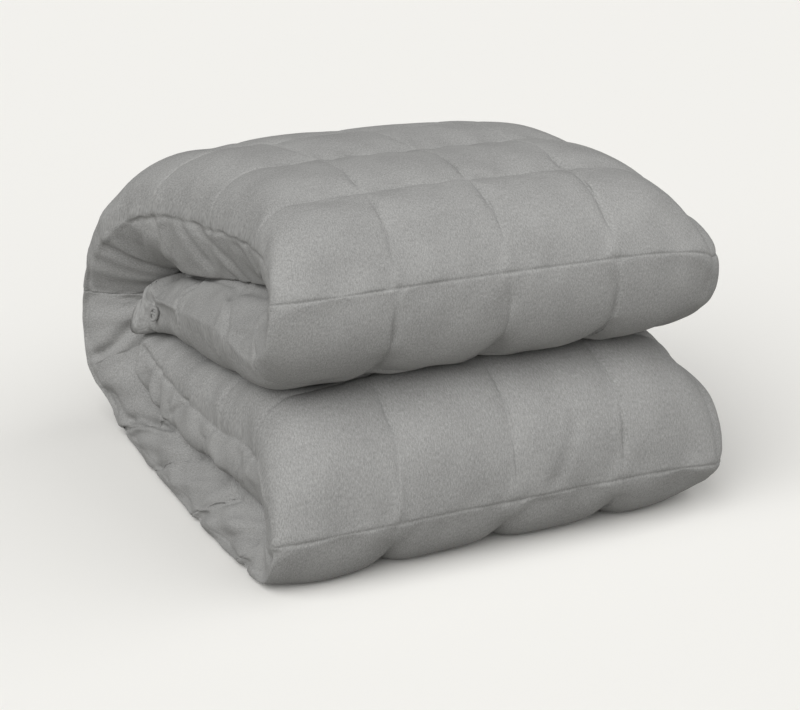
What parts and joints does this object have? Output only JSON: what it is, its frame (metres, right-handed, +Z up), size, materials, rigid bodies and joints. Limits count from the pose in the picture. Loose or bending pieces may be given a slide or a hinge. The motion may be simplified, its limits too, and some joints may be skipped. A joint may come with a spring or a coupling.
{
  "type": "folded weighted blanket",
  "caption": "Quilted weighted blanket in brushed grey cotton, folded lengthwise to a strip and then to a bundle, with a cord loop at an inner corner.",
  "frame": {"origin": "centre of the bundle's footprint, on the surface it rests on", "axes": "+Z up; +X along the front, away from the folded left end; +Y from the front folds to the back"},
  "size_m": [0.4852, 0.4488, 0.3182],
  "materials": {
    "brushed_cotton": "short-napped brushed cotton in heathered mid grey",
    "loop_cord": "round cotton cord in the same grey"
  },
  "bodies": {
    "root": {"quilted_blanket": "brushed_cotton", "corner_loop": "loop_cord"}
  },
  "joints": []
}
